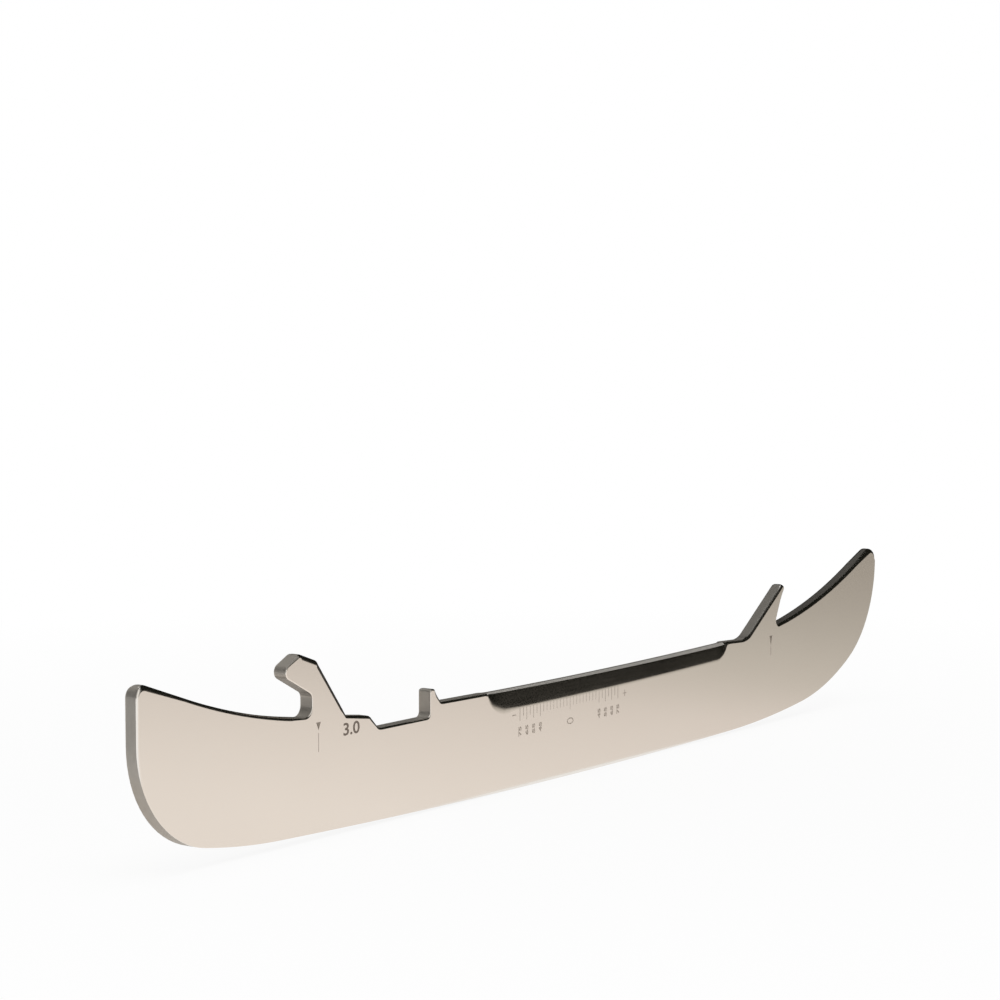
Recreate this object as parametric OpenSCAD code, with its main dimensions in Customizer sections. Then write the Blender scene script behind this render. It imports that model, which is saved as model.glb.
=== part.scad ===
// Ice hockey skate runner: one blanked, hardened and polished steel blade with a rear hook,
// a latch tooth, a front tang, a bevelled middle top edge and a hollow-ground rocker.
// Millimetres. X runs heel to toe, Z up, Y across the thickness; the pivot of the rocker is at X 0, Z 0.

/* [Blade] */
// overall length, heel to toe
length = 263; // [256:1:300]
// steel thickness
thickness = 3; // [2.5:0.1:4]
// height of the middle top edge above the pivot of the rocker
body_h = 20.4; // [19.8:0.1:21]

/* [Rocker] */
// radius of the main rocker
rocker_r = 2743; // [2000:1:4000]
// radius that blends the rocker into the heel
heel_blend_r = 155; // [110:1:200]
// slope in degrees at which the heel blend meets the heel round
heel_blend_slope = 9.3; // [7:0.1:12]
// radius of the heel round
heel_round_r = 20.4; // [16:0.1:24]
// radius that blends the rocker into the toe
toe_blend_r = 295; // [240:1:350]
// slope in degrees at which the toe blend ends
toe_blend_slope = 7.8; // [6.5:0.1:9]
// radius of the long toe curve
toe_curve_r = 64; // [52:0.5:66]
// slope in degrees at which the toe curve meets the toe round
toe_curve_slope = 30; // [28:0.1:31.5]
// radius of the toe round
toe_round_r = 26.2; // [22:0.1:26.5]
// radius of the hollow ground along the rocker
hollow_r = 12.7; // [9:0.1:25]
// width of the honed land left at each skating edge
edge_land = 0.06; // [0.05:0.01:0.3]

/* [Heel] */
// height of the heel top corner
heel_top_z = 35; // [33.5:0.1:38]
// round of the heel top corner
heel_corner_r = 2.2; // [1:0.1:4]
// the two slopes of the heel top edge meet this far ahead of the heel
heel_bend_x = 25.8; // [24:0.1:28]
// height where those two slopes meet
heel_bend_z = 25.8; // [25.2:0.1:26.8]
// radius of the hollow along the heel top edge
heel_hollow_r = 150; // [80:1:160]

/* [Rear hook] */
// back wall of the throat, from the heel end
throat_x = 46.2; // [45:0.1:48]
// floor of the throat, above the pivot
throat_floor_z = 22.7; // [22.3:0.1:23.5]
// round at the foot of the throat
throat_r = 2; // [1:0.1:2.4]
// roof of the throat at its back wall
throat_roof_z = 27.1; // [26.8:0.1:28]
// round at the top of the throat
throat_roof_r = 0.8; // [0.4:0.1:1]
// reach of the sharp hook nose behind the back wall of the throat
hook_reach = 9.1; // [8:0.1:10]
// height of the sharp hook nose
hook_nose_z = 31.85; // [31.4:0.05:32.4]
// round of the hook nose
hook_nose_r = 1.5; // [0.8:0.1:1.7]
// height of the hook crest
hook_crest_z = 35; // [34.6:0.1:36]
// setback of the crest behind the back wall of the throat
hook_crest_back = 3.3; // [2.5:0.1:4]
// round of the hook crest
hook_crest_r = 2; // [1:0.1:2.5]
// the shoulder stands this far ahead of the back wall of the throat
shoulder_ahead = 1.5; // [0.8:0.1:2]
// height of the hook shoulder
shoulder_z = 33.3; // [32.8:0.1:34]
// round of the hook shoulder
shoulder_r = 2; // [1:0.1:2.5]
// width of the hook at its foot, from the back wall of the throat
hook_foot_w = 10; // [9:0.1:11]
// round at the foot of the hook
hook_foot_r = 0.6; // [0.3:0.1:1]

/* [Latch seat] */
// height of the step at the hook
step_rear_z = 21.9; // [21.5:0.1:22.5]
// height of the step at its front corner
step_front_z = 21; // [20.6:0.1:21.4]
// length of the step
step_len = 7.1; // [6:0.1:8]
// round of the step corner
step_r = 1.3; // [0.8:0.1:1.4]
// run of the slope from the step down to the ledge
step_run = 2.8; // [2.4:0.1:3.4]
// round at the foot of that slope
step_foot_r = 1; // [0.5:0.1:1.4]
// height of the ledge
ledge_z = 18.25; // [17.8:0.05:18.8]
// length of the ledge
ledge_len = 15.7; // [12:0.1:18]
// round at the foot of the tooth
tooth_foot_r = 1.2; // [0.8:0.1:2]
// height of the tooth
tooth_z = 23.7; // [22.9:0.1:25]
// flat width at the top of the tooth
tooth_top_w = 1.3; // [1.1:0.1:2.5]
// round of the tooth corners
tooth_r = 0.6; // [0.3:0.05:0.7]
// width of the tooth where it meets the middle top edge
tooth_foot_w = 3.8; // [3.4:0.1:5]
// round between the tooth and the middle top edge
tooth_lee_r = 0.8; // [0.4:0.1:1]

/* [Bevel] */
// height of the bevel on each side of the middle top edge, at the pivot
bevel_h = 3.9; // [2.5:0.05:5]
// how far the bevel cuts into each side at the top
bevel_in = 0.7; // [0.4:0.05:1]
// by how much the bevel narrows from its rear end to its front end
bevel_rise = 0.55; // [0:0.05:1]
// rear end of the bevel, behind the pivot
bevel_rear = 32.3; // [20:0.1:38]
// front end of the bevel, ahead of the pivot
bevel_front = 61.6; // [45:0.1:64]
// round of the rear bevel end
bevel_rear_r = 9; // [4:0.1:10]
// round of the front bevel end
bevel_front_r = 6; // [4:0.1:10]

/* [Front tang] */
// foot of the tang behind the toe end
tang_foot_x = 61.4; // [60.6:0.1:62.4]
// height of the relief at the foot of the tang
tang_foot_z = 20.75; // [20.4:0.05:21]
// length of the relief, from the middle top edge to the foot of the tang
relief_len = 8.3; // [7:0.1:12]
// round at the foot of the tang
tang_foot_r = 6; // [3:0.1:7]
// sharp point of the tang behind the toe end
tang_point_x = 43; // [42.6:0.1:44]
// height of that sharp point
tang_point_z = 33.6; // [33:0.1:34.3]
// round of the tang point
tang_point_r = 0.7; // [0.4:0.05:0.9]
// bottom of the notch ahead of the tang, behind the toe end
notch_x = 49.5; // [48.8:0.1:50]
// height of the notch bottom
notch_z = 22.3; // [21.9:0.1:22.8]
// round at the bottom of the notch
notch_r = 1.2; // [0.6:0.1:1.5]

/* [Toe] */
// the two slopes of the toe top edge meet this far behind the toe end
toe_bend_x = 25.6; // [24:0.1:28]
// height where those two slopes meet
toe_bend_z = 26.9; // [26:0.1:27.4]
// radius of the hollow along the toe top edge
toe_hollow_r = 150; // [80:1:165]
// height of the toe tip
toe_top_z = 38.4; // [38.2:0.1:41]
// round of the toe tip
toe_tip_r = 2.5; // [1:0.1:2.6]

/* [Hidden] */
$fn = 256;
// facets of a full circle for the long, flat arcs
long_fn = 1440;
half = length / 2;
// depth by which an arc's cap runs into the body behind it
lap = 0.2;
// length by which a cap runs on past the end of its arc
spill = 1;
// height margin of the cutting shapes
past = 2;

// the heel and toe rounds end upright at the two ends of the blade, and the rocker fills the rest
rocker_rear = (half - heel_round_r * (1 - sin(heel_blend_slope)) - heel_blend_r * sin(heel_blend_slope))
    / (1 - heel_blend_r / rocker_r);
rocker_front = (half - toe_round_r * (1 - sin(toe_curve_slope))
    - toe_curve_r * (sin(toe_curve_slope) - sin(toe_blend_slope)) - toe_blend_r * sin(toe_blend_slope))
    / (1 - toe_blend_r / rocker_r);
rear_slope = asin(rocker_rear / rocker_r);
front_slope = asin(rocker_front / rocker_r);

// points where the bottom arcs meet, found from the slope at each meeting
function after(p, r, from, to, way) =
    [p.x + way * r * (sin(to) - sin(from)), p.y + r * (cos(from) - cos(to))];
heel_1 = after([0, 0], rocker_r, 0, rear_slope, -1);
heel_2 = after(heel_1, heel_blend_r, rear_slope, heel_blend_slope, -1);
heel_3 = after(heel_2, heel_round_r, heel_blend_slope, 90, -1);
toe_1 = after([0, 0], rocker_r, 0, front_slope, 1);
toe_2 = after(toe_1, toe_blend_r, front_slope, toe_blend_slope, 1);
toe_3 = after(toe_2, toe_curve_r, toe_blend_slope, toe_curve_slope, 1);
toe_4 = after(toe_3, toe_round_r, toe_curve_slope, 90, 1);

// the middle top edge keeps the same height above the rocker all along
top_r = rocker_r - body_h;
function top_z(x) = rocker_r - sqrt(top_r * top_r - x * x);
throat = throat_x - half;
hook_foot = throat + hook_foot_w;
step_front = hook_foot + step_len;
ledge_rear = step_front + step_run;
tooth = ledge_rear + ledge_len;
tooth_lee = tooth + tooth_foot_w;
top_start = tooth_lee + 3 * tooth_lee_r;
tang_foot = half - tang_foot_x;
top_end = tang_foot - relief_len;

// corners of the upper outline from toe to heel: [x, z, round]
front_corners = [
    [half, toe_top_z, toe_tip_r],
    [half - toe_bend_x, toe_bend_z, toe_hollow_r],
    [half - notch_x, notch_z, notch_r],
    [half - tang_point_x, tang_point_z, tang_point_r],
    [tang_foot, tang_foot_z, tang_foot_r],
    [top_end, top_z(top_end), 0],
];
rear_corners = [
    [top_start, top_z(top_start), 0],
    [tooth_lee, top_z(tooth_lee), tooth_lee_r],
    [tooth + tooth_top_w, tooth_z, tooth_r],
    [tooth, tooth_z, tooth_r],
    [tooth, ledge_z, tooth_foot_r],
    [ledge_rear, ledge_z, step_foot_r],
    [step_front, step_front_z, step_r],
    [hook_foot, step_rear_z, hook_foot_r],
    [throat + shoulder_ahead, shoulder_z, shoulder_r],
    [throat - hook_crest_back, hook_crest_z, hook_crest_r],
    [throat - hook_reach, hook_nose_z, hook_nose_r],
    [throat, throat_roof_z, throat_roof_r],
    [throat, throat_floor_z, throat_r],
    [heel_bend_x - half, heel_bend_z, heel_hollow_r],
    [-half, heel_top_z, heel_corner_r],
];

// a corner becomes its two tangent points; each point carries the radius of the arc to the next
// point, above zero where the steel bulges and below zero where it is hollowed
function unit(v) = v / norm(v);
function flat(p) = [p.x, p.y];
function turn(u, v) = atan2(u.x * v.y - u.y * v.x, u.x * v.x + u.y * v.y);
function rounded(before, at, next) =
    let (
        u = unit(flat(at) - flat(before)),
        v = unit(flat(next) - flat(at)),
        bend = turn(u, v),
        run = at.z * tan(abs(bend) / 2),
        a = flat(at) - run * u,
        b = flat(at) + run * v
    )
    at.z == 0 ? [[at.x, at.y, 0]] : [[a.x, a.y, sign(bend) * at.z], [b.x, b.y, 0]];
function rounded_run(start, list, end) =
    [for (i = [0 : len(list) - 1])
        each rounded(i == 0 ? start : list[i - 1], list[i], i == len(list) - 1 ? end : list[i + 1])];

front_run = rounded_run(toe_4, front_corners, [0, body_h]);
rear_run = rounded_run([0, body_h], rear_corners, heel_3);
front_last = len(front_run) - 1;
blade_path = concat(
    [
        [heel_3.x, heel_3.y, heel_round_r],
        [heel_2.x, heel_2.y, heel_blend_r],
        [heel_1.x, heel_1.y, rocker_r],
        [toe_1.x, toe_1.y, toe_blend_r],
        [toe_2.x, toe_2.y, toe_curve_r],
        [toe_3.x, toe_3.y, toe_round_r],
        [toe_4.x, toe_4.y, 0],
    ],
    [for (i = [0 : front_last - 1]) front_run[i]],
    [[front_run[front_last].x, front_run[front_last].y, -top_r]],
    rear_run
);

// the lower bevel line is an arc about an axis just behind the pivot, so the bevel narrows to the front
bevel_len = bevel_rear + bevel_front;
bevel_low_r = top_r + bevel_h;
bevel_axis = -bevel_low_r * bevel_rise / bevel_len;
window_top = body_h + past;
window_r = bevel_low_r + lap;

// centre of the round that ends the window at x, set inside the arc of its lower edge
function end_centre(x, r) =
    let (run = x - bevel_axis, far = window_r - r)
    [x, rocker_r - sqrt(far * far - run * run)];
function on_arc(c, r) = let (hub = [bevel_axis, rocker_r]) hub + (c - hub) * window_r / (window_r - r);
rear_centre = end_centre(bevel_rear_r - bevel_rear, bevel_rear_r);
front_centre = end_centre(bevel_front - bevel_front_r, bevel_front_r);
rear_foot = on_arc(rear_centre, bevel_rear_r);
front_foot = on_arc(front_centre, bevel_front_r);
window_path = [
    [rear_foot.x, rear_foot.y, window_r],
    [front_foot.x, front_foot.y, bevel_front_r],
    [bevel_front, front_centre.y, 0],
    [bevel_front, window_top, 0],
    [-bevel_rear, window_top, 0],
    [-bevel_rear, rear_centre.y, bevel_rear_r],
];

// a hair of extra radius, more on tighter arcs, lets an arc cross its neighbours instead of just touching
function swell(r) = max(0, 0.0003 * (8 - ln(r)));

// the cap between an arc and its chord, on the side the arc swells to; it runs on past an end
// whose neighbour is straight or rounder, and stops at an end whose neighbour is tighter
module arc_cap(a, b, r, r_before, r_next) {
    radius = abs(r);
    chord = norm(b - a);
    rise = radius - sqrt(r * r - chord * chord / 4);
    along = unit(b - a);
    out = [along.y, -along.x] * sign(r);
    middle = (a + b) / 2;
    on_a = r_before == 0 || abs(r_before) > radius ? spill : 0;
    on_b = r_next == 0 || abs(r_next) > radius ? spill : 0;
    intersection() {
        translate(middle - out * (radius - rise))
            circle(r = radius + swell(radius), $fn = radius > length ? long_fn : $fn);
        translate(middle)
            rotate(atan2(along.y, along.x))
                translate([-chord / 2 - on_a, r > 0 ? -rise - spill : -lap])
                    square([chord + on_a + on_b, rise + spill + lap]);
    }
}

// the caps of a path: those that swell out (side 1) or those that hollow it (side -1)
module arc_caps(path, side) {
    n = len(path);
    for (i = [0 : n - 1])
        if (sign(path[i].z) == side)
            arc_cap(flat(path[i]), flat(path[(i + 1) % n]), path[i].z,
                path[(i + n - 1) % n].z, path[(i + 1) % n].z);
}

// plane figure from a path: straight chords first, then swelling arcs on and hollow arcs off
module figure(path) {
    difference() {
        union() {
            polygon([for (p = path) flat(p)]);
            arc_caps(path, 1);
        }
        arc_caps(path, -1);
    }
}

module upright(w) {
    rotate([90, 0, 0])
        linear_extrude(height = w, center = true)
            children();
}

// shallow cone taken off one side of the middle top edge, its ends rounded by the window
module bevel_cut(side) {
    out = 0.5;
    reach = 1.8;
    intersection() {
        translate([bevel_axis, side * (thickness / 2 + out * bevel_in), rocker_r])
            rotate([side * 90, 0, 0])
                cylinder(
                    h = (out + reach) * bevel_in,
                    r1 = bevel_low_r + out * bevel_h,
                    r2 = bevel_low_r - reach * bevel_h,
                    $fn = long_fn
                );
        upright(2 * thickness)
            figure(window_path);
    }
}

// crown of the grinding wheel, run along the rocker and out below the heel and toe curves
module hollow_cut() {
    grip = thickness / 2 - edge_land;
    ring = rocker_r + sqrt(hollow_r * hollow_r - grip * grip);
    run_out = 0.4;
    translate([0, 0, rocker_r])
        rotate([90, 0, 0])
            rotate_extrude(angle = rear_slope + front_slope + 2 * run_out, start = -90 - rear_slope - run_out)
                intersection() {
                    translate([ring, 0])
                        circle(r = hollow_r);
                    translate([rocker_r - past, -thickness])
                        square([2 * past, 2 * thickness]);
                }
}

module runner() {
    color([0.8, 0.78, 0.74])
        difference() {
            upright(thickness)
                figure(blade_path);
            bevel_cut(-1);
            bevel_cut(1);
            hollow_cut();
        }
}

runner();
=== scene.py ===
import math

import bmesh
import bpy
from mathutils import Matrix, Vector
from mathutils.geometry import delaunay_2d_cdt


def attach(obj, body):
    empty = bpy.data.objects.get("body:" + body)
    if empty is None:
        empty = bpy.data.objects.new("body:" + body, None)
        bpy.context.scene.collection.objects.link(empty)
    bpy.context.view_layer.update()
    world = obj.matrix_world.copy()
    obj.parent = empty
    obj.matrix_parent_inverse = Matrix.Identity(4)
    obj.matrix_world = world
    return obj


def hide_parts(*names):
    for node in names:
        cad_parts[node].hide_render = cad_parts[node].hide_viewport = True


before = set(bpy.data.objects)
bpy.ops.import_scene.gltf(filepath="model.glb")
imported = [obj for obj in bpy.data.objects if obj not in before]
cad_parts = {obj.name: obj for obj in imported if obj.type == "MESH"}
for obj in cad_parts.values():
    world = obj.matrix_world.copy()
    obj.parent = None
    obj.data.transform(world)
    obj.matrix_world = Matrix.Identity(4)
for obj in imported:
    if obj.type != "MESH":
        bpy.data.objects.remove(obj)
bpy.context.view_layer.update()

MM = 0.001

# blade sizes in millimetres, as in the part's source, with the pivot of the rocker at the origin
LENGTH = 263
HALF = LENGTH / 2
SIDE = 1.5
BODY_H = 20.4
ROCKER_R = 2743
HOLLOW_R = 12.7
HOLLOW_GRIP = 1.44
HEEL_BLEND_R, HEEL_BLEND_SLOPE, HEEL_ROUND_R = 155, 9.3, 20.4
TOE_BLEND_R, TOE_BLEND_SLOPE = 295, 7.8
TOE_CURVE_R, TOE_CURVE_SLOPE, TOE_ROUND_R = 64, 30, 26.2
BEVEL_H, BEVEL_IN, BEVEL_RISE = 3.9, 0.7, 0.55
BEVEL_REAR, BEVEL_FRONT = -32.3, 61.6
BEVEL_REAR_R, BEVEL_FRONT_R = 9, 6
BEVEL_LAP = 0.2
BEVEL_LOW_R = ROCKER_R - BODY_H + BEVEL_H
BEVEL_AXIS = -BEVEL_LOW_R * BEVEL_RISE / (BEVEL_FRONT - BEVEL_REAR)
THROAT = 46.2 - HALF
HOOK_FOOT = THROAT + 10
STEP_FRONT = HOOK_FOOT + 7.1
LEDGE_REAR = STEP_FRONT + 2.8
TOOTH = LEDGE_REAR + 15.7
TOOTH_LEE = TOOTH + 3.8
TOP_START = TOOTH_LEE + 2.4
TANG_FOOT = HALF - 61.4
TANG_NOTCH, TANG_FRONT = HALF - 49.5, HALF - 42
TOP_END = TANG_FOOT - 8.3

# rounding of the side edges, from the honed skating edge to the tumbled upper edge
HONED = 0.03
TUMBLED = 0.5
CREST_REAR, CREST_FRONT = 0.4, 0.7

# spacing of the stations along the outline, in millimetres and in degrees of turn
STRAIGHT_PITCH, ARC_PITCH, TOP_PITCH = 1.5, 1.8, 0.7
ARC_TURN, FEWEST_ON_ARC = 5, 4
# an arc reaches the next edge rounding this much before its end
EDGE_LEAD = 1.4
NO_LIMIT = 1e9

# section of the blade: strips on half the edge wall and on its rounding, and places along the bevel's slope
WALL_STEPS, ROUND_STEPS = 5, 6
SLOPE_PLACES = (0.35, 0.7, 1.0)
# the bevel fades in over this depth, and has its full crest from this cut on
BEVEL_FADE, FULL_CUT = 1.5, 0.4
# softening of the lower bevel line at its rear end and along the rest
SOFT_REAR, SOFT_REST = 1.0, 0.3
# margin that the strips keep on the flat side, and the share of the room inside the outline they may fill
FLAT_MARGIN, ROOM_SHARE = 0.12, 0.82

# finishes of the blade, in the order in which it takes them; three paint shade into the colour, and the crest's
# paints a highlight
POLISHED, WALL_PAINTED_SHADE, TOE_PAINTED_SHADE, GROUND, CREST, BEVEL, TURN_PAINTED_SHADE = range(7)
# heights from which the tang, the throat's roof and the hook's top count, and up to which the toe's wall does
TANG_FROM, ROOF_FROM, HOOK_TOP_FROM, TOE_UP_TO = 21.2, 24, 30, 27
# cut from which the top edge counts as bevelled
BEVELLED = 0.15
# strips of the rounding that keep the wall's finish on the back of the hook and on other rear-facing edges
HOOK_TURN, REAR_TURN = 5, 2


def sine(degrees):
    return math.sin(math.radians(degrees))


def smooth(t):
    t = min(1.0, max(0.0, t))
    return t * t * (3 - 2 * t)


def mix(a, b, t):
    return a + (b - a) * t


def top_z(x):
    """Height of the middle top edge, which runs at one height above the rocker."""
    return ROCKER_R - math.sqrt((ROCKER_R - BODY_H) ** 2 - x * x)


def round_end(point, radius, start, end, way):
    """Where a bottom arc ends that turns from one slope to the next, heelward (-1) or toeward (1)."""
    a, b = math.radians(start), math.radians(end)
    return (
        point[0] + way * radius * (math.sin(b) - math.sin(a)),
        point[1] + radius * (math.cos(a) - math.cos(b)),
    )


def bottom_meetings():
    """The points where the bottom arcs meet, from the heel end to the toe end."""
    rear = HALF - HEEL_ROUND_R * (1 - sine(HEEL_BLEND_SLOPE)) - HEEL_BLEND_R * sine(HEEL_BLEND_SLOPE)
    rear /= 1 - HEEL_BLEND_R / ROCKER_R
    front = HALF - TOE_ROUND_R * (1 - sine(TOE_CURVE_SLOPE))
    front -= TOE_CURVE_R * (sine(TOE_CURVE_SLOPE) - sine(TOE_BLEND_SLOPE))
    front -= TOE_BLEND_R * sine(TOE_BLEND_SLOPE)
    front /= 1 - TOE_BLEND_R / ROCKER_R
    rear_slope = math.degrees(math.asin(rear / ROCKER_R))
    front_slope = math.degrees(math.asin(front / ROCKER_R))
    heel_1 = round_end((0, 0), ROCKER_R, 0, rear_slope, -1)
    heel_2 = round_end(heel_1, HEEL_BLEND_R, rear_slope, HEEL_BLEND_SLOPE, -1)
    heel_3 = round_end(heel_2, HEEL_ROUND_R, HEEL_BLEND_SLOPE, 90, -1)
    toe_1 = round_end((0, 0), ROCKER_R, 0, front_slope, 1)
    toe_2 = round_end(toe_1, TOE_BLEND_R, front_slope, TOE_BLEND_SLOPE, 1)
    toe_3 = round_end(toe_2, TOE_CURVE_R, TOE_BLEND_SLOPE, TOE_CURVE_SLOPE, 1)
    toe_4 = round_end(toe_3, TOE_ROUND_R, TOE_CURVE_SLOPE, 90, 1)
    return heel_3, heel_2, heel_1, toe_1, toe_2, toe_3, toe_4


def rounded_run(start, corners, end):
    """Corners (x, z, round, edge rounding before and after) become path points
    (x, z, radius to the next, edge rounding)."""
    run = []
    for i, (x, z, radius, edge, edge_after) in enumerate(corners):
        before = Vector(corners[i - 1][:2] if i else start)
        after = Vector(corners[i + 1][:2] if i + 1 < len(corners) else end)
        at = Vector((x, z))
        if radius == 0:
            run.append((x, z, 0, edge))
            continue
        u, v = (at - before).normalized(), (after - at).normalized()
        bend = math.atan2(u.x * v.y - u.y * v.x, u.dot(v))
        reach = radius * math.tan(abs(bend) / 2)
        a, b = at - reach * u, at + reach * v
        run.append((a.x, a.y, math.copysign(radius, bend), edge))
        run.append((b.x, b.y, 0, edge_after))
    return run


def blade_path():
    """The blade's outline as path points: the bottom from heel to toe, then the upper edge from toe to heel.
    Some corners and slopes differ a little from the part's source, to make up for the rounded side edges."""
    bottom = bottom_meetings()
    radii = (HEEL_ROUND_R, HEEL_BLEND_R, ROCKER_R, TOE_BLEND_R, TOE_CURVE_R, TOE_ROUND_R, 0)
    edges = (0.6, 0.12, HONED, HONED, HONED, 0.07, 0.35)
    path = [(p[0], p[1], r, e) for p, r, e in zip(bottom, radii, edges)]
    front = [
        (HALF, 38.4, 2.5, 0.8, 1.0),  # tip of the toe
        (HALF - 25.6, 26.9, 150, 0.6, 0.6),  # hollow of the toe
        (TANG_NOTCH, 22.3, 1.2, 0.5, 0.35),  # notch ahead of the tang
        (HALF - 42.65, 34.2, 0.9, 1.2, 1.2),  # tip of the tang
        (HALF - 46.9, 31.24, 0, 0.75, 0.75),  # rear slope of the tang
        (TANG_FOOT - 0.5, 20.77, 6, 0.75, TUMBLED),  # foot of the tang
        (TOP_END, top_z(TOP_END), 0, TUMBLED, TUMBLED),  # front end of the top edge
    ]
    rear = [
        (TOP_START, top_z(TOP_START), 0, 0.4, 0.4),  # rear end of the top edge
        (TOOTH_LEE - 0.3, top_z(TOOTH_LEE), 1.2, 0.4, 0.5),  # lee of the tooth
        (TOOTH + 1.5, 23.7, 0.8, 0.9, 0.35),  # top of the tooth, front
        (TOOTH, 23.7, 0.6, 0.3, 0.2),  # top of the tooth, rear
        (TOOTH, 18.25, 1.2, 0.2, 0.35),  # foot of the tooth
        (LEDGE_REAR - 0.2, 18.25, 2, 0.35, 0.45),  # rear end of the ledge
        (STEP_FRONT + 0.1, 20.99, 2.2, 0.7, 0.6),  # step
        (HOOK_FOOT + 0.05, 21.9, 0.8, 0.5, 0.65),  # foot of the hook
        (HOOK_FOOT - 1, 23.83, 0, 1.1, 1.1),  # front slope of the hook
        (THROAT + 2, 33.12, 2, 1.25, 1.0),  # shoulder of the hook
        (THROAT - 3.3, 35, 2, 1.0, 0.5),  # crest of the hook
        (THROAT - 9.1, 31.85, 1.5, 0.3, 0.25),  # nose of the hook
        (THROAT, 27.1, 1.3, 0.25, 0.2),  # roof of the throat
        (THROAT, 22.7, 2, 0.2, 0.3),  # floor of the throat
        (25.8 - HALF, 25.8, 150, 0.65, 0.65),  # hollow of the heel
        (-HALF, 35, 2.2, 1.05, 0.6),  # top of the heel
    ]
    front_run = rounded_run(bottom[-1], front, (0, BODY_H))
    last = front_run[-1]
    front_run[-1] = (last[0], last[1], BODY_H - ROCKER_R, last[3])
    return path + front_run + rounded_run((0, BODY_H), rear, bottom[0])


class Station:
    """One place on the outline: point, outward direction, edge rounding and length run so far, in mm."""

    def __init__(self, x, z, out_x, out_z, edge, run, top):
        self.x, self.z = x, z
        self.out_x, self.out_z = out_x, out_z
        self.edge, self.run, self.top = edge, run, top
        self.room = NO_LIMIT


def outline_stations():
    """Stations all along the outline, close together on tight rounds and on the bevelled top edge."""
    path = blade_path()
    stations, run = [], 0.0
    for i, (x, z, radius, edge) in enumerate(path):
        end = path[(i + 1) % len(path)]
        a, b = Vector((x, z)), Vector(end[:2])
        chord = (b - a).length
        along = (b - a) / chord
        right = Vector((along.y, -along.x))
        is_top = radius == BODY_H - ROCKER_R
        if radius == 0:
            count = max(1, math.ceil(chord / STRAIGHT_PITCH))
            spots = [(a + along * (chord * k / count), right) for k in range(count)]
            length = chord
        else:
            side = math.copysign(1, radius)
            size = abs(radius)
            sweep = 2 * math.asin(min(1, chord / (2 * size)))
            length = size * sweep
            centre = (a + b) / 2 - right * side * math.sqrt(max(0, size * size - chord * chord / 4))
            pitch = TOP_PITCH if is_top else ARC_PITCH
            count = max(FEWEST_ON_ARC, math.ceil(math.degrees(sweep) / ARC_TURN), math.ceil(length / pitch))
            first = (a - centre).normalized()
            spots = []
            for k in range(count):
                turn = side * sweep * k / count
                c, s = math.cos(turn), math.sin(turn)
                ray = Vector((c * first.x - s * first.y, s * first.x + c * first.y))
                spots.append((centre + ray * size, ray * side))
        for k, (spot, out) in enumerate(spots):
            t = k / len(spots)
            here = mix(edge, end[3], t if radius == 0 else smooth(EDGE_LEAD * t))
            stations.append(Station(spot.x, spot.y, out.x, out.y, here, run + length * t, is_top))
        run += length
    return stations


def measure_room(stations):
    """Gives each station the radius of the largest circle inside the outline that touches it there."""
    for s in stations:
        for o in stations:
            dx, dz = o.x - s.x, o.z - s.z
            inward = -(dx * s.out_x + dz * s.out_z)
            if inward > 1e-6:
                s.room = min(s.room, (dx * dx + dz * dz) / (2 * inward))


def bevel_line(x):
    """Height of the lower bevel line, an arc about an axis just behind the pivot."""
    return ROCKER_R - math.sqrt(BEVEL_LOW_R**2 - (x - BEVEL_AXIS) ** 2)


def bevel_reach(x):
    """How far down from the top edge the bevel runs, and how far in it cuts there."""
    low = bevel_line(x)
    full = BEVEL_IN * (top_z(x) - low) / BEVEL_H
    for end, radius, way in ((BEVEL_REAR, BEVEL_REAR_R, 1), (BEVEL_FRONT, BEVEL_FRONT_R, -1)):
        past = way * (end + way * radius - x)
        if past >= radius:
            return 0.0, 0.0
        if past > 0:
            foot = bevel_line(end + way * radius) - BEVEL_LAP
            low = max(low, foot + radius - math.sqrt(radius * radius - past * past))
    down = top_z(x) - low
    if down <= 0:
        return 0.0, 0.0
    return down, full * smooth(down / BEVEL_FADE)


def half_section(s, hollow):
    """Section at a station from the middle of the edge wall to the flat side: (inset, y) in mm."""
    down, cut = bevel_reach(s.x) if s.top else (0.0, 0.0)
    along = (s.x - BEVEL_REAR) / (BEVEL_FRONT - BEVEL_REAR)
    edge = mix(s.edge, mix(CREST_REAR, CREST_FRONT, along), smooth(cut / FULL_CUT))
    flat_from = edge + FLAT_MARGIN
    down = max(down, flat_from)
    tilt = math.atan2(cut, down)
    turn = math.pi / 2 - tilt
    corner = SIDE - cut
    reach = edge * math.tan(turn / 2)
    wall = corner - reach
    section = []
    hollow_foot = math.sqrt(HOLLOW_R**2 - HOLLOW_GRIP**2)
    for k in range(WALL_STEPS + 1):
        y = wall * k / WALL_STEPS
        depth = math.sqrt(HOLLOW_R**2 - min(y, HOLLOW_GRIP) ** 2) - hollow_foot
        section.append((hollow * depth, y))
    for k in range(1, ROUND_STEPS + 1):
        a = turn * k / ROUND_STEPS
        section.append((edge - edge * math.cos(a), wall + edge * math.sin(a)))
    start = Vector(section[-1])
    foot = Vector((down, SIDE))
    soft = mix(SOFT_REAR, SOFT_REST, smooth(6 * along)) * min(1.0, cut / FULL_CUT)
    slope_end = foot - (foot - start).normalized() * min(soft + 0.02, 0.6 * (foot - start).length)
    for t in SLOPE_PLACES:
        p = start.lerp(slope_end, t)
        section.append((p.x, p.y))
    flat_start = down + 0.06 + soft
    middle = (slope_end + 2 * foot + Vector((flat_start, SIDE))) / 4
    section.append((middle.x, middle.y))
    section.append((flat_start, SIDE))
    section.append((flat_start + FLAT_MARGIN, SIDE))
    scale = min(1.0, ROOM_SHARE * s.room / section[-1][0])
    return [(inset * scale, y) for inset, y in section]


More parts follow.
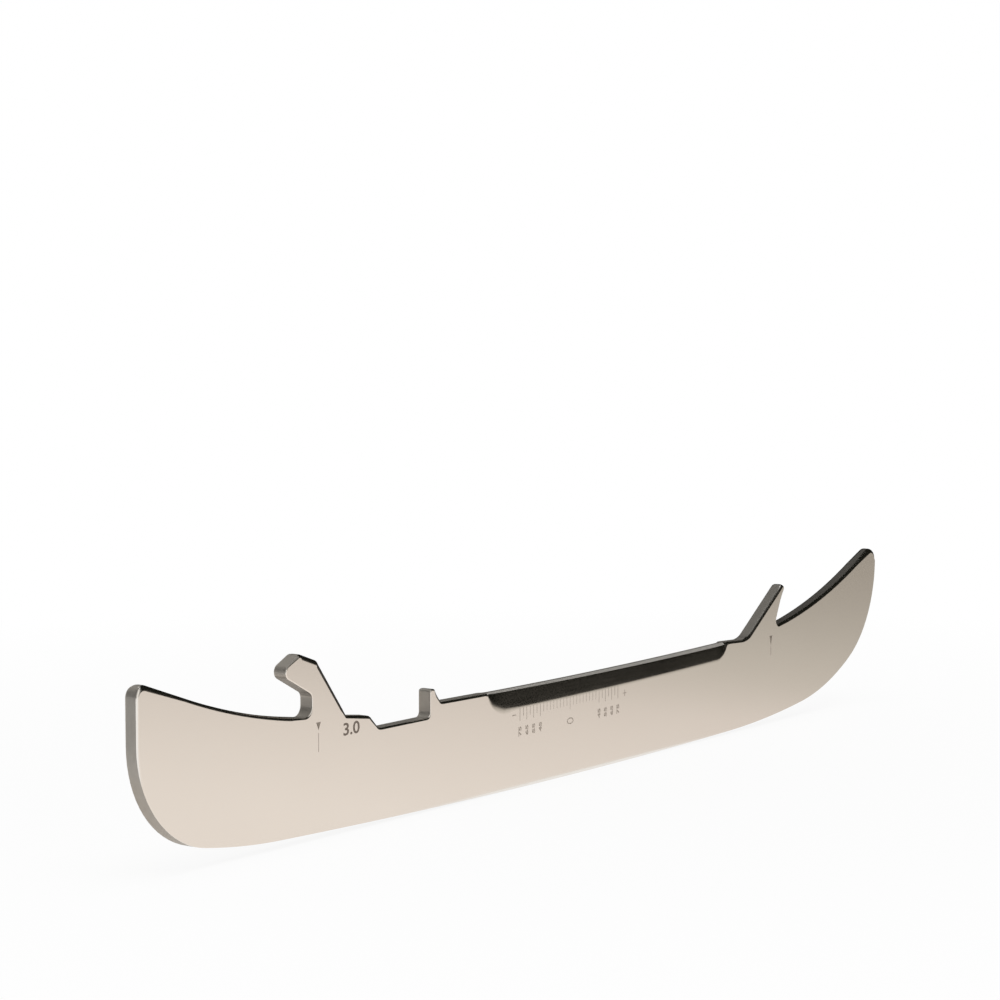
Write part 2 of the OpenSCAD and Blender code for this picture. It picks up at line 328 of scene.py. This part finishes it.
def hollow_share(s, meetings):
    """1 along the rocker, running out to 0 along the heel and toe blends."""
    if s.out_z > -0.5:
        return 0.0
    heel = smooth((s.x - meetings[1][0]) / (meetings[2][0] - meetings[1][0]))
    toe = smooth((meetings[4][0] - s.x) / (meetings[4][0] - meetings[3][0]))
    return min(heel, toe)


def flat_fill(rim):
    """Triangles, as rim indices, that fill a closed rim of (x, z) points."""
    count = len(rim)
    edges = [(k, (k + 1) % count) for k in range(count)]
    found = delaunay_2d_cdt([Vector(p) for p in rim], edges, [list(range(count))], 1, 1e-7)
    source = found[3]
    return [[source[k][0] for k in face] for face in found[2]]


def wall_finish(s):
    """The finish of the edge wall: painted shade on the tang and under the hook, darker painted shade along the
    toe, else ground.
    """
    ahead_of_tang = s.z < TOE_UP_TO or s.x > TANG_FRONT
    # painted shade: the toe's upward walls take a darker copy of the ground finish
    if s.out_z > 0.3 and s.x > TANG_NOTCH and ahead_of_tang:
        return TOE_PAINTED_SHADE
    on_tang = s.z > TANG_FROM and TANG_FOOT - 1 < s.x < TANG_FRONT
    under_hook = s.z > ROOF_FROM and s.x < THROAT + 0.5 and s.out_z < -0.4
    return WALL_PAINTED_SHADE if on_tang or under_hook else GROUND


def finish_index(s, k):
    """The finish of strip k, counted from the middle of the wall. The wall's own finish, painted shade on some
    walls, runs on over part of the rounding where the edge faces rearward, and painted shade covers the
    rounding where the rear half faces forward."""
    hook_back = s.z > HOOK_TOP_FROM and THROAT - 10 < s.x < THROAT and s.out_x < -0.3 and s.out_z > 0.5
    turned = HOOK_TURN if hook_back else REAR_TURN if s.out_x < -0.45 else 0
    if k < WALL_STEPS + turned:
        return wall_finish(s)
    on_rounding = k < WALL_STEPS + ROUND_STEPS
    if s.top and bevel_reach(s.x)[1] > BEVELLED:
        # the crest takes a ground land, less metallic, whose lighter colour is a painted highlight
        return CREST if on_rounding else BEVEL
    # painted shade on the rear half's roundings that face forward and up
    if on_rounding and s.x < 0 and s.out_x > 0.4 and s.out_z > 0.3:
        return TURN_PAINTED_SHADE
    return POLISHED


def steel_blade(*finishes):
    """The blade: edge walls, rounded side edges and bevels as strips, closed by the two flat sides."""
    stations = outline_stations()
    measure_room(stations)
    meetings = bottom_meetings()
    sections = [half_section(s, hollow_share(s, meetings)) for s in stations]
    build = bmesh.new()
    grain = build.loops.layers.uv.new("grain")
    rings = {1: [], -1: []}
    for s, section in zip(stations, sections):
        middle = None
        for way in (1, -1):
            column = []
            for k, (inset, y) in enumerate(section):
                if k == 0 and middle is not None:
                    column.append(middle)
                    continue
                spot = (s.x - s.out_x * inset, way * y, s.z - s.out_z * inset)
                column.append(build.verts.new([c * MM for c in spot]))
            middle = column[0]
            rings[way].append(column)
    count = len(stations)
    total = stations[-1].run + 1.0
    across = [0.0]
    for a, b in zip(sections[0], sections[0][1:]):
        across.append(across[-1] + math.hypot(b[0] - a[0], b[1] - a[1]))
    for way, columns in rings.items():
        for i in range(count):
            j = (i + 1) % count
            here, there = stations[i].run, stations[j].run if j else total
            for k in range(len(sections[0]) - 1):
                quad = [columns[i][k], columns[j][k], columns[j][k + 1], columns[i][k + 1]]
                low, high = across[k], across[k + 1]
                spots = [(here, low), (there, low), (there, high), (here, high)]
                if way < 0:
                    quad.reverse()
                    spots.reverse()
                face = build.faces.new(quad)
                face.material_index = finish_index(stations[i], k)
                for loop, spot in zip(face.loops, spots):
                    loop[grain].uv = (spot[0] * MM, way * spot[1] * MM)
        rim = [c[-1] for c in columns]
        for corners in flat_fill([(v.co.x / MM, v.co.z / MM) for v in rim]):
            face = build.faces.new([rim[k] for k in corners])
            for loop in face.loops:
                loop[grain].uv = (loop.vert.co.x, loop.vert.co.z)
    bmesh.ops.recalc_face_normals(build, faces=build.faces[:])
    for face in build.faces:
        face.smooth = True
    mesh = bpy.data.meshes.new("steel_blade")
    build.to_mesh(mesh)
    build.free()
    for finish in finishes:
        mesh.materials.append(finish)
    blade = show("steel_blade", mesh)
    even = blade.modifiers.new("even_shading", "WEIGHTED_NORMAL")
    even.mode = "FACE_AREA"
    even.weight = 60
    return settle(blade)


def show(name, mesh):
    """A mesh as an object of that name in the scene."""
    thing = bpy.data.objects.new(name, mesh)
    bpy.context.scene.collection.objects.link(thing)
    return thing


def settle(thing):
    """Turns an object's modifiers into plain mesh."""
    bpy.context.view_layer.update()
    whole = thing.evaluated_get(bpy.context.evaluated_depsgraph_get())
    mesh = bpy.data.meshes.new_from_object(whole)
    mesh.name = thing.name
    thing.modifiers.clear()
    thing.data = mesh
    return thing


class Shade:
    """A shader socket that sums can be written with. Other nodes come from make()."""

    def __init__(self, tree, socket=None):
        self.tree, self.socket = tree, socket

    def make(self, kind, settings=None, sockets=None, out=0):
        node = self.tree.nodes.new(kind)
        for name, value in (settings or {}).items():
            if name == "stops":
                ramp = node.color_ramp.elements
                while len(ramp) < len(value):
                    ramp.new(0.5)
                for stop, (place, colour) in zip(ramp, value):
                    stop.position, stop.color = place, colour
            else:
                setattr(node, name, value)
        for name, value in (sockets or {}).items():
            if isinstance(value, Shade):
                self.tree.links.new(value.socket, node.inputs[name])
            else:
                node.inputs[name].default_value = value
        return Shade(self.tree, node.outputs[out] if node.outputs else None)

    def maths(self, operation, a, b):
        return self.make("ShaderNodeMath", {"operation": operation}, {0: a, 1: b})

    def __add__(self, other):
        return self.maths("ADD", self, other)

    __radd__ = __add__

    def __sub__(self, other):
        return self.maths("SUBTRACT", self, other)

    def __rsub__(self, other):
        return self.maths("SUBTRACT", other, self)

    def __mul__(self, other):
        return self.maths("MULTIPLY", self, other)

    __rmul__ = __mul__

    def clipped(self, low, high):
        return self.make("ShaderNodeClamp", None, {"Value": self, "Min": low, "Max": high})

    def between(self, dark, light):
        """A colour from dark (0) to light (1)."""
        return self.make(
            "ShaderNodeMix",
            {"data_type": "RGBA"},
            {"Factor": self, 6: (*dark, 1), 7: (*light, 1)},
            out=2,
        )


def new_finish(name):
    """A node material with nothing in it yet, and its tree."""
    finish = bpy.data.materials.new(name)
    finish.use_nodes = True
    finish.node_tree.nodes.clear()
    return finish, Shade(finish.node_tree)


def noise_on(tree, place, scale, detail=3.0, stretch=None):
    """Noise over a place, about 0 to 1, drawn out by stretch."""
    if stretch is not None:
        place = tree.make("ShaderNodeMapping", None, {"Vector": place, "Scale": stretch})
    return tree.make("ShaderNodeTexNoise", None, {"Vector": place, "Scale": scale, "Detail": detail})


def metal(tree, sockets):
    """Puts a steel shader with these sockets on a tree's output."""
    steel = tree.make("ShaderNodeBsdfPrincipled", None, sockets)
    tree.make("ShaderNodeOutputMaterial", None, {"Surface": steel})


def polished_steel(name, smoothest):
    """Sides, bevels and rounded edges: warm polished steel with a fine lengthwise grain, a little cloudy."""
    finish, tree = new_finish(name)
    place = tree.make("ShaderNodeTexCoord", out="Object")
    cloud = noise_on(tree, place, 38.0, 2.0)
    grain = noise_on(tree, place, 1.0, 4.0, (90.0, 2600.0, 2600.0))
    colour = (cloud * 0.7 + grain * 0.3).between((0.83, 0.795, 0.745), (0.89, 0.855, 0.805))
    rough = smoothest + cloud * 0.05 + grain * 0.06
    bump = tree.make("ShaderNodeBump", None, {"Strength": 0.05, "Distance": 0.00002, "Height": grain})
    metal(tree, {"Base Color": colour, "Metallic": 1.0, "Roughness": rough, "Normal": bump})
    return finish


def ground_edge(name, dark, light, shine):
    """Edge walls and some roundings: steel as the grinding belt leaves it, streaked along the edge. Darker
    copies of it paint shade, and a lighter one paints a highlight.
    """
    finish, tree = new_finish(name)
    place = tree.make("ShaderNodeUVMap", {"uv_map": "grain"})
    streak = noise_on(tree, place, 1.0, 4.0, (160.0, 9000.0, 1.0))
    fleck = noise_on(tree, place, 900.0, 3.0)
    colour = (streak * 0.6 + fleck * 0.4).between(dark, light)
    rough = 0.46 + streak * 0.12 + fleck * 0.06
    bump = tree.make("ShaderNodeBump", None, {"Strength": 0.25, "Distance": 0.00003, "Height": streak})
    metal(tree, {"Base Color": colour, "Metallic": shine, "Roughness": rough, "Normal": bump})
    return finish


def etched(name, dark, light, worn=0.0):
    """Burnt-in marking: a thin brown oxide on the steel, uneven, and by worn rubbed off at the middle tick."""
    finish, tree = new_finish(name)
    place = tree.make("ShaderNodeTexCoord", out="Object")
    mottle = noise_on(tree, place, 2400.0, 3.0)
    colour = mottle.between(dark, light)
    if worn:
        along = tree.make("ShaderNodeSeparateXYZ", None, {"Vector": place}, out="X")
        away = tree.maths("ABSOLUTE", along - SCALE_MIDDLE * MM, 0.0)
        rubbed = worn * (1.4 - away * 80.0).clipped(0.0, 1.0)
        bare = (0.74, 0.69, 0.63, 1)
        sockets = {"Factor": rubbed, 6: colour, 7: bare}
        colour = tree.make("ShaderNodeMix", {"data_type": "RGBA"}, sockets, out=2)
    metal(tree, {"Base Color": colour, "Metallic": 0.6, "Roughness": 0.42 + mottle * 0.2})
    return finish


# marks stand a hair above the near side, in millimetres
MARK_DEPTH = 0.012
SCALE_MIDDLE, SCALE_PITCH, SCALE_SIDE_TICKS = -1.9, 1.2, 15
# ticks from the middle that have a number, and how much each tick counts
NUMBERED, TICK_VALUE = (9, 11, 13, 15), 5
NUMBER_LOW, NUMBER_HIGH, NUMBER_HALF = 10.55, 12.6, 0.5
# ring under the middle tick: its height, half width and half height outside and inside,
# its number of pieces and the share of each that is drawn
RING_Z, RING_OUTSIDE, RING_INSIDE = 11.4, (1.2, 0.7), (0.9, 0.46)
RING_PIECES, RING_DRAWN = 24, 0.86
# points of a mark this close, in metres, are one
WELD = 1e-7


def scale_tree():
    """Geometry nodes for a row of ticks, longer at the middle and at every second tick near the ends."""
    tree = bpy.data.node_groups.new("tick_scale", "GeometryNodeTree")
    inputs = {}
    for name, kind in (
        ("Ticks", "NodeSocketInt"),
        ("Start", "NodeSocketVector"),
        ("Step", "NodeSocketVector"),
        ("Tick width", "NodeSocketFloat"),
        ("Tick depth", "NodeSocketFloat"),
        ("Short tick", "NodeSocketFloat"),
        ("Long tick", "NodeSocketFloat"),
        ("First long", "NodeSocketFloat"),
        ("Finish", "NodeSocketMaterial"),
    ):
        inputs[name] = tree.interface.new_socket(name, in_out="INPUT", socket_type=kind).identifier
    tree.interface.new_socket("Geometry", in_out="OUTPUT", socket_type="NodeSocketGeometry")
    given = tree.nodes.new("NodeGroupInput").outputs

    def add(kind, settings=None, sockets=None, out=0):
        node = tree.nodes.new(kind)
        for name, value in (settings or {}).items():
            setattr(node, name, value)
        for name, value in (sockets or {}).items():
            if isinstance(value, bpy.types.NodeSocket):
                tree.links.new(value, node.inputs[name])
            else:
                node.inputs[name].default_value = value
        return node.outputs[out] if node.outputs else None

    def sum_of(operation, a, b=0.0):
        return add("ShaderNodeMath", {"operation": operation}, {0: a, 1: b})

    row = add(
        "GeometryNodeMeshLine",
        {"mode": "OFFSET"},
        {"Count": given["Ticks"], "Start Location": given["Start"], "Offset": given["Step"]},
    )
    middle = sum_of("MULTIPLY", sum_of("SUBTRACT", given["Ticks"], 1.0), 0.5)
    from_middle = sum_of("ABSOLUTE", sum_of("SUBTRACT", add("GeometryNodeInputIndex"), middle))
    odd = sum_of("GREATER_THAN", sum_of("MODULO", from_middle, 2.0), 0.5)
    far = sum_of("GREATER_THAN", from_middle, sum_of("SUBTRACT", given["First long"], 0.5))
    centre = sum_of("LESS_THAN", from_middle, 0.5)
    is_long = sum_of("MAXIMUM", sum_of("MULTIPLY", odd, far), centre)
    more = sum_of("MULTIPLY", is_long, sum_of("SUBTRACT", given["Long tick"], given["Short tick"]))
    height = sum_of("ADD", given["Short tick"], more)
    size = add(
        "ShaderNodeCombineXYZ", None, {"X": given["Tick width"], "Y": given["Tick depth"], "Z": height}
    )
    tick = add("GeometryNodeMeshCube", None, {"Size": (1, 1, 1)})
    hung = add("GeometryNodeTransform", None, {"Geometry": tick, "Translation": (0, 0, -0.5)})
    ticks = add("GeometryNodeInstanceOnPoints", None, {"Points": row, "Instance": hung, "Scale": size})
    real = add("GeometryNodeRealizeInstances", None, {"Geometry": ticks})
    done = add("GeometryNodeSetMaterial", None, {"Geometry": real, "Material": given["Finish"]})
    tree.links.new(done, tree.nodes.new("NodeGroupOutput").inputs[0])
    return tree, inputs


def pivot_scale(finish):
    """The row of ticks along the lower bevel line."""
    tree, inputs = scale_tree()
    piece = show("pivot_scale", bpy.data.meshes.new("pivot_scale"))
    ticks = piece.modifiers.new("ticks", "NODES")
    ticks.node_group = tree
    first = SCALE_MIDDLE - SCALE_SIDE_TICKS * SCALE_PITCH
    last = SCALE_MIDDLE + SCALE_SIDE_TICKS * SCALE_PITCH
    rise = (bevel_line(last) - bevel_line(first)) / (2 * SCALE_SIDE_TICKS)
    for name, value in (
        ("Ticks", 2 * SCALE_SIDE_TICKS + 1),
        ("Start", (first * MM, -SIDE * MM, (bevel_line(first) - 0.2) * MM)),
        ("Step", (SCALE_PITCH * MM, 0.0, rise * MM)),
        ("Tick width", 0.13 * MM),
        ("Tick depth", MARK_DEPTH * MM),
        ("Short tick", 1.75 * MM),
        ("Long tick", 2.6 * MM),
        ("First long", float(NUMBERED[0])),
        ("Finish", finish),
    ):
        ticks[inputs[name]] = value
    return settle(piece)


def plate(build, points):
    """Adds a thin plate of that outline, (x, z) in mm, lying in the near side."""
    low = [build.verts.new((x * MM, (-SIDE + MARK_DEPTH / 2) * MM, z * MM)) for x, z in points]
    high = [build.verts.new((x * MM, (-SIDE - MARK_DEPTH / 2) * MM, z * MM)) for x, z in points]
    build.faces.new(low)
    build.faces.new(high)
    for i in range(len(points)):
        j = (i + 1) % len(points)
        build.faces.new((low[i], low[j], high[j], high[i]))


def bar(build, x0, z0, x1, z1):
    plate(build, [(x0, z0), (x1, z0), (x1, z1), (x0, z1)])


def marks_piece(name, build, finish):
    """A finished piece from the plates in build."""
    bmesh.ops.recalc_face_normals(build, faces=build.faces[:])
    mesh = bpy.data.meshes.new(name)
    build.to_mesh(mesh)
    build.free()
    mesh.materials.append(finish)
    return show(name, mesh)


def holder_index(finish):
    """The down-pointing triangles that line up with the holder."""
    build = bmesh.new()
    plate(build, [(-84.25, 21.8), (-83.6, 20.3), (-82.95, 21.8)])
    plate(build, [(80.0, 20.6), (80.6, 18.3), (81.2, 20.6)])
    return marks_piece("holder_index", build, finish)


def setting_lines(finish):
    """Thin upright lines at both ends, the less and more signs, and the ring under the middle tick."""
    build = bmesh.new()
    bar(build, -83.68, 16.3, -83.52, 19.8)  # line under the rear triangle
    bar(build, 80.5, 16.0, 80.7, 18.1)  # line under the front triangle
    bar(build, -22.55, 15.0, -21.2, 15.22)  # less
    bar(build, 18.05, 14.62, 19.4, 14.84)  # more, across
    bar(build, 18.62, 14.05, 18.83, 14.56)  # more, below
    bar(build, 18.62, 14.9, 18.83, 15.4)  # more, above
    for k in range(RING_PIECES):
        a, b = math.tau * k / RING_PIECES, math.tau * (k + RING_DRAWN) / RING_PIECES
        ring = [(*RING_OUTSIDE, a), (*RING_OUTSIDE, b), (*RING_INSIDE, b), (*RING_INSIDE, a)]
        plate(build, [(SCALE_MIDDLE + u * math.cos(t), RING_Z + w * math.sin(t)) for u, w, t in ring])
    return marks_piece("setting_lines", build, finish)


def number_mesh(text, stroke):
    """Plain digits as a solid mesh, of no set size, with their strokes widened by stroke."""
    curve = bpy.data.curves.new("digits", "FONT")
    curve.body = text
    curve.extrude = 0.5
    curve.offset = stroke
    curve.resolution_u = 4
    writing = show("digits", curve)
    bpy.context.view_layer.update()
    mesh = bpy.data.meshes.new_from_object(writing.evaluated_get(bpy.context.evaluated_depsgraph_get()))
    bpy.data.objects.remove(writing)
    return mesh


def write_number(build, text, x0, z0, x1, z1, upright=True, stroke=0.0):
    """Adds digits that fill a box on the near side; if not upright they read from bottom to top."""
    mesh = number_mesh(text, stroke)
    spots = [v.co.copy() for v in mesh.vertices]
    low = [min(p[k] for p in spots) for k in range(3)]
    span = [max(p[k] for p in spots) - low[k] for k in range(3)]
    for v in mesh.vertices:
        u, w, d = ((v.co[k] - low[k]) / span[k] for k in range(3))
        along, high = (u, w) if upright else (1 - w, u)
        v.co = Vector((mix(x0, x1, along), -SIDE - (d - 0.5) * MARK_DEPTH, mix(z0, z1, high))) * MM
    build.from_mesh(mesh)
    bpy.data.meshes.remove(mesh)


def size_number(finish):
    """The steel's thickness in millimetres under the step."""
    build = bmesh.new()
    write_number(build, "%.1f" % (2 * SIDE), -76.4, 18.25, -71.6, 20.65, stroke=0.018)
    bmesh.ops.remove_doubles(build, verts=build.verts[:], dist=WELD)
    return marks_piece("size_number", build, finish)


def scale_numbers(finish):
    """What the ticks count to from the middle, upward under the numbered ticks."""
    build = bmesh.new()
    for count in NUMBERED:
        for way in (-1, 1):
            x = SCALE_MIDDLE + way * count * SCALE_PITCH
            box = (x - NUMBER_HALF, NUMBER_LOW, x + NUMBER_HALF, NUMBER_HIGH)
            write_number(build, "%d" % (TICK_VALUE * count), *box, upright=False, stroke=0.04)
    bmesh.ops.remove_doubles(build, verts=build.verts[:], dist=WELD)
    return marks_piece("scale_numbers", build, finish)


def seen_straight(tree):
    """1 where the camera, a mirror or glass looks at a surface, and 0 where it only lights others."""
    seen = tree.make("ShaderNodeLightPath", out="Is Camera Ray")
    for kind in ("Is Glossy Ray", "Is Transmission Ray"):
        seen = seen + tree.make("ShaderNodeLightPath", out=kind)
    return seen.clipped(0.0, 1.0)


def white_floor():
    """A large pale floor that keeps a soft shadow under the blade and runs out to white."""
    build = bmesh.new()
    bmesh.ops.create_grid(build, x_segments=1, y_segments=1, size=6.0)
    mesh = bpy.data.meshes.new("floor")
    build.to_mesh(mesh)
    build.free()
    finish, tree = new_finish("floor_paper")
    place = tree.make("ShaderNodeTexCoord", out="Object")
    away = tree.make("ShaderNodeVectorMath", {"operation": "LENGTH"}, {0: place}, out="Value")
    share = (0.85 + away * 0.5).clipped(0.0, 1.0) * seen_straight(tree)
    matt = tree.make("ShaderNodeBsdfDiffuse", None, {"Color": (0.93, 0.93, 0.93, 1)})
    glow = tree.make("ShaderNodeEmission", None, {"Color": (1, 1, 1, 1), "Strength": 1.0})
    paper = tree.make("ShaderNodeMixShader", None, {0: share, 1: matt, 2: glow})
    tree.make("ShaderNodeOutputMaterial", None, {"Surface": paper})
    mesh.materials.append(finish)
    return show("floor", mesh)


def only_mirrored(card):
    """Leaves a card to be seen in the steel and nowhere else."""
    card.visible_camera = False
    card.visible_diffuse = False
    card.visible_transmission = False
    card.visible_shadow = False
    return card


def dark_cards():
    """A tall ring of black cards round the blade, grey on its far side and light to its near rear."""
    sides, radius, low, high = 48, 0.8, -0.01, 3.0
    build = bmesh.new()
    feet, heads = [], []
    for k in range(sides):
        x, y = radius * math.cos(math.tau * k / sides), radius * math.sin(math.tau * k / sides)
        feet.append(build.verts.new((x, y, low)))
        heads.append(build.verts.new((x, y, high)))
    for k in range(sides):
        j = (k + 1) % sides
        build.faces.new((feet[j], feet[k], heads[k], heads[j]))
    mesh = bpy.data.meshes.new("dark_cards")
    build.to_mesh(mesh)
    build.free()
    finish, tree = new_finish("card_black")
    place = tree.make("ShaderNodeTexCoord", out="Object")
    across = tree.make("ShaderNodeSeparateXYZ", None, {"Vector": place}, out="Y")
    along = tree.make("ShaderNodeSeparateXYZ", None, {"Vector": place}, out="X")
    far = ((across - 0.54) * 5.0).clipped(0.0, 1.0)
    near = ((across * -0.9 - along * 0.45 - 0.55) * 4.0).clipped(0.0, 1.0)
    colour = (far * 0.7 + near).between((0.008, 0.008, 0.006), (0.9, 0.88, 0.84))
    glow = tree.make("ShaderNodeEmission", None, {"Color": colour, "Strength": 1.0})
    tree.make("ShaderNodeOutputMaterial", None, {"Surface": glow})
    mesh.materials.append(finish)
    return only_mirrored(show("dark_cards", mesh))


def floor_cards():
    """A graded card on the floor along each side, light at the heel and grey past the toe."""
    rear, front, inner, outer, lift = -0.15, 0.75, 0.003, 0.6, 0.0001
    build = bmesh.new()
    for way in (-1, 1):
        corners = [(rear, inner), (front, inner), (front, outer), (rear, outer)]
        build.faces.new([build.verts.new((x, way * y, lift)) for x, y in corners])
    mesh = bpy.data.meshes.new("floor_cards")
    build.to_mesh(mesh)
    build.free()
    finish, tree = new_finish("card_graded")
    place = tree.make("ShaderNodeTexCoord", out="Object")
    along = tree.make("ShaderNodeSeparateXYZ", None, {"Vector": place}, out="X")
    stops = [
        (0.0, (0.90, 0.835, 0.78, 1)),
        (0.35, (0.775, 0.708, 0.655, 1)),
        (0.5, (0.628, 0.58, 0.523, 1)),
        (0.75, (0.518, 0.48, 0.429, 1)),
        (1.0, (0.436, 0.397, 0.35, 1)),
    ]
    colour = tree.make("ShaderNodeValToRGB", {"stops": stops}, {"Fac": (along + 0.06) * 2.5})
    glow = tree.make("ShaderNodeEmission", None, {"Color": colour, "Strength": 1.0})
    tree.make("ShaderNodeOutputMaterial", None, {"Surface": glow})
    mesh.materials.append(finish)
    return only_mirrored(show("floor_cards", mesh))


def studio_light():
    """White surround and one broad soft lamp overhead."""
    world = bpy.data.worlds.new("studio")
    bpy.context.scene.world = world
    world.use_nodes = True
    world.node_tree.nodes.clear()
    tree = Shade(world.node_tree)
    fill = 0.3
    level = seen_straight(tree) * (1 - fill) + fill
    white = tree.make("ShaderNodeBackground", None, {"Color": (1, 1, 1, 1), "Strength": level})
    tree.make("ShaderNodeOutputWorld", None, {"Surface": white})
    lamp = bpy.data.lights.new("overhead", "AREA")
    lamp.shape = "SQUARE"
    lamp.size = 1.1
    lamp.energy = 10.0
    overhead = bpy.data.objects.new("overhead", lamp)
    place = Vector((-0.15, -0.25, 1.15))
    overhead.location = place
    overhead.rotation_euler = place.to_track_quat("Z", "Y").to_euler()
    overhead.visible_glossy = False
    bpy.context.scene.collection.objects.link(overhead)


def photo_camera():
    """The photograph's viewpoint, for a square picture."""
    lens = bpy.data.cameras.new("camera")
    lens.sensor_width = 36.0
    lens.lens = 97.456
    lens.clip_start = 0.01
    camera = bpy.data.objects.new("camera", lens)
    camera.location = (-0.462589, -0.317061, 0.101533)
    looks_down, turned_to_toe = 4.5115, 54.0905
    camera.rotation_euler = (math.radians(90 - looks_down), 0.0, math.radians(-turned_to_toe))
    bpy.context.scene.collection.objects.link(camera)
    bpy.context.scene.camera = camera


bpy.context.scene.view_settings.view_transform = "Standard"
photo_camera()
studio_light()
white_floor()
dark_cards()
floor_cards()

blade = steel_blade(
    polished_steel("polished_steel", 0.15),
    # painted shade: a darker copy of the ground finish for the tang and the walls under the hook
    ground_edge("painted_shade_wall", (0.22, 0.21, 0.19), (0.37, 0.35, 0.32), 0.82),
    # painted shade along the toe's upward walls
    ground_edge("painted_shade_toe", (0.145, 0.137, 0.123), (0.24, 0.225, 0.205), 0.82),
    ground_edge("ground_edge", (0.33, 0.31, 0.28), (0.54, 0.51, 0.465), 0.82),
    # ground land along the bevelled crest, less metallic; its lighter colour is a painted highlight
    ground_edge("crest_painted_highlight", (0.42, 0.40, 0.37), (0.62, 0.60, 0.56), 0.45),
    polished_steel("bevel_polish", 0.115),
    # painted shade: a near-black copy of the ground finish for the rear half's forward-facing roundings
    ground_edge("painted_shade_turn", (0.07, 0.066, 0.06), (0.12, 0.113, 0.102), 0.9),
)
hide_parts("runner")
dark_mark = etched("etched_dark", (0.19, 0.155, 0.13), (0.29, 0.245, 0.21))
faint_mark = etched("etched_faint", (0.30, 0.26, 0.22), (0.42, 0.37, 0.32))
worn_mark = etched("etched_worn", (0.30, 0.26, 0.22), (0.42, 0.37, 0.32), 0.6)
faintest_mark = etched("etched_faintest", (0.44, 0.39, 0.34), (0.58, 0.52, 0.46))
for piece in (
    blade,
    holder_index(faint_mark),
    size_number(dark_mark),
    setting_lines(faintest_mark),
    pivot_scale(worn_mark),
    scale_numbers(faintest_mark),
):
    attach(piece, "root")
